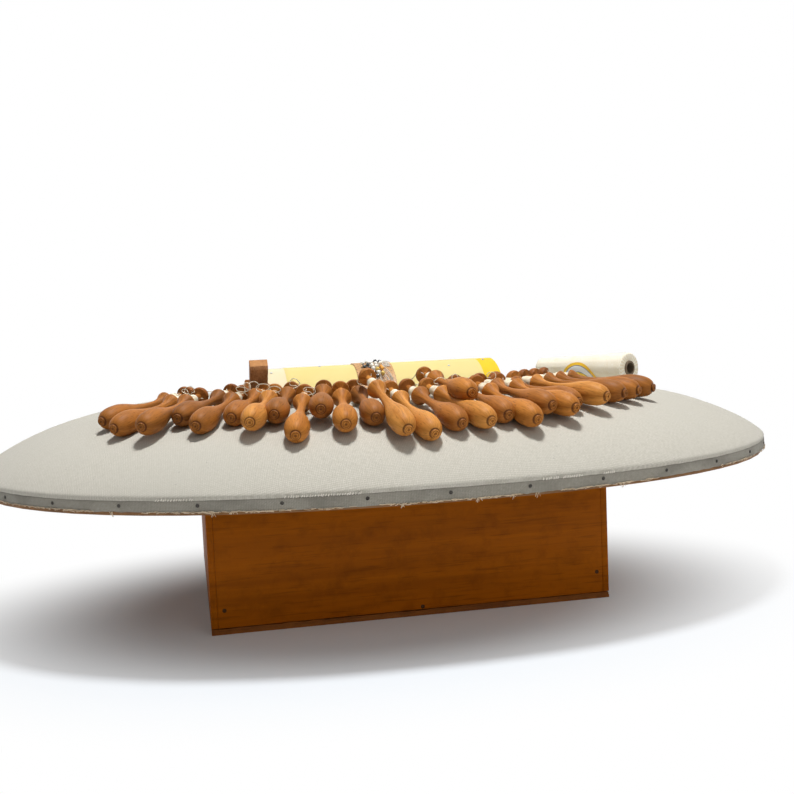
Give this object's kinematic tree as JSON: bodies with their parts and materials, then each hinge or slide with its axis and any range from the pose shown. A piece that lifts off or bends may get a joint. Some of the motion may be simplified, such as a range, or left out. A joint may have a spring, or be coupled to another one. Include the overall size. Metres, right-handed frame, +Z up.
{
  "type": "bobbin lace pillow",
  "caption": "Domed oval lace pillow on a wooden box stand, with a ratchet pattern roller, pricking, started lace and turned wooden bobbins.",
  "frame": {"origin": "on the resting face, under the middle of the pillow's outline", "axes": "+X along the front of the box to the worker's right, +Y away from the worker, +Z up"},
  "size_m": [0.6202, 0.4694, 0.1868],
  "materials": {
    "box_wood": "varnished",
    "pale_wood": "bare",
    "pad_cloth": "plain weave",
    "band_cloth": "plain weave",
    "roller_cloth": "plain weave",
    "brown_card": "matt card",
    "white_lace": "lace",
    "bobbin_wood": "polished",
    "pawl_wood": "worn",
    "pin_steel": "satin",
    "cotton_thread": "cross-wound thread",
    "pin_bead": "gloss"
  },
  "bodies": {
    "stand": {"box_left_side": "box_wood", "box_right_side": "box_wood", "box_front_panel": "box_wood", "box_back_panel": "box_wood", "box_bottom": "pale_wood", "base_board": "pale_wood", "cushion": "pad_cloth", "rim_band": "band_cloth", "roller_cheek_left": "pale_wood", "roller_cheek_right": "pale_wood", "pawl_pin": "pin_steel", "bobbin_01": "bobbin_wood", "bobbin_02": "bobbin_wood", "bobbin_03": "bobbin_wood", "bobbin_04": "bobbin_wood", "bobbin_05": "bobbin_wood", "bobbin_06": "bobbin_wood", "bobbin_07": "bobbin_wood", "bobbin_08": "bobbin_wood", "bobbin_09": "bobbin_wood", "bobbin_12": "bobbin_wood", "bobbin_15": "bobbin_wood", "bobbin_16": "bobbin_wood", "bobbin_17": "bobbin_wood", "bobbin_18": "bobbin_wood", "bobbin_19": "bobbin_wood", "bobbin_20": "bobbin_wood", "bobbin_21": "bobbin_wood", "bobbin_22": "bobbin_wood", "bobbin_23": "bobbin_wood", "bobbin_24": "bobbin_wood", "bobbin_25": "bobbin_wood", "bobbin_26": "bobbin_wood", "long_pin": "pin_steel", "safety_pin": "pin_steel"},
    "roller": {"roller_core": "pale_wood", "roller_axle": "pale_wood", "roller_cover": "roller_cloth", "pricking": "brown_card", "made_lace": "white_lace", "ratchet_wheel": "pale_wood", "bead_pin_1": "pin_bead", "bead_pin_2": "pin_bead", "bead_pin_3": "pin_bead", "bead_pin_4": "pin_bead", "bead_pin_5": "pin_bead", "bead_pin_6": "pin_bead", "bead_pin_7": "pin_bead", "bead_pin_8": "pin_bead"},
    "pawl": {"pawl": "pawl_wood"},
    "thread_tube": {"thread_tube_core": "brown_card", "thread_tube_winding": "cotton_thread"},
    "pair_one_left": {"bobbin_10": "bobbin_wood"},
    "pair_one_right": {"bobbin_11": "bobbin_wood"},
    "pair_two_left": {"bobbin_13": "bobbin_wood"},
    "pair_two_right": {"bobbin_14": "bobbin_wood"}
  },
  "joints": [
    {"name": "roller_turn", "type": "hinge", "parent": "stand", "child": "roller", "pos_m": [0.0013, -0.01, 0.131], "axis": [1, 0, 0], "continuous": true},
    {"name": "pawl_lift", "type": "hinge", "parent": "stand", "child": "pawl", "pos_m": [-0.1003, -0.051, 0.157], "axis": [-1, 0, 0], "range_deg": [0, 11]},
    {"name": "thread_tube_lift", "type": "slide", "parent": "stand", "child": "thread_tube", "axis": [0, 0, 1], "range_m": [0, 0.06]},
    {"name": "pair_one_left_lift", "type": "slide", "parent": "stand", "child": "pair_one_left", "axis": [0, 0, 1], "range_m": [0, 0.03]},
    {"name": "pair_one_right_lift", "type": "slide", "parent": "stand", "child": "pair_one_right", "axis": [0, 0, 1], "range_m": [0, 0.03]},
    {"name": "pair_two_left_lift", "type": "slide", "parent": "stand", "child": "pair_two_left", "axis": [0, 0, 1], "range_m": [0, 0.03]},
    {"name": "pair_two_right_lift", "type": "slide", "parent": "stand", "child": "pair_two_right", "axis": [0, 0, 1], "range_m": [0, 0.03]}
  ]
}
